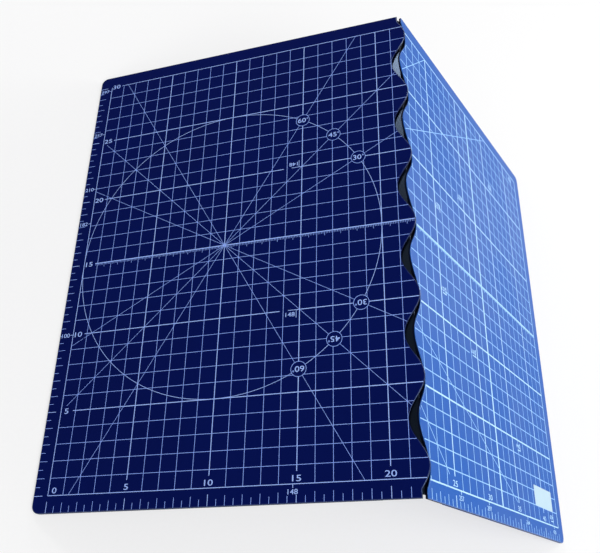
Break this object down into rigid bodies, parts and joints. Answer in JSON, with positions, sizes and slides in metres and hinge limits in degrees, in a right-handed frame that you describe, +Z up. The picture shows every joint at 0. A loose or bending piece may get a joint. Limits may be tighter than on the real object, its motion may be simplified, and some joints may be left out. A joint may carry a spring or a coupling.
{
  "type": "folding cutting mat",
  "caption": "Folding cutting mat: laminated navy and blue halves with a printed centimetre grid, a wavy interlocking seam and a film hinge on the back, standing half open as a tent.",
  "frame": {"origin": "on the floor under the middle of the seam, midway between the two outer edges that the mat stands on", "axes": "+X from the left half to the right half, +Y along the seam away from the picture's camera, +Z up"},
  "size_m": [0.3672, 0.32, 0.1368],
  "materials": {
    "print_navy": "fine matte texture, printed in pale ink",
    "print_blue": "fine matte texture, printed in pale ink",
    "core_black": "smooth cut edge",
    "back_navy": "plain matte texture",
    "back_blue": "plain matte texture",
    "print_ink": "thin pale ink of the grid, rulers and numbers",
    "bond_tape": "adhesive film",
    "hinge_film": "smooth film"
  },
  "bodies": {
    "left_half": {"left_print_sheet": "print_navy", "left_core_board": "core_black", "left_back_sheet": "back_navy", "left_bond_tape": "bond_tape", "left_film_leaf": "hinge_film", "hinge_film_crease": "hinge_film"},
    "right_half": {"right_print_sheet": "print_blue", "right_core_board": "core_black", "right_back_sheet": "back_blue", "right_bond_tape": "bond_tape", "right_film_leaf": "hinge_film"}
  },
  "joints": [
    {"name": "fold", "type": "hinge", "parent": "left_half", "child": "right_half", "pos_m": [0, 0, 0.13189], "axis": [0, 1, 0], "range_deg": [-72, 108], "deforming": ["hinge_film_crease"]}
  ]
}
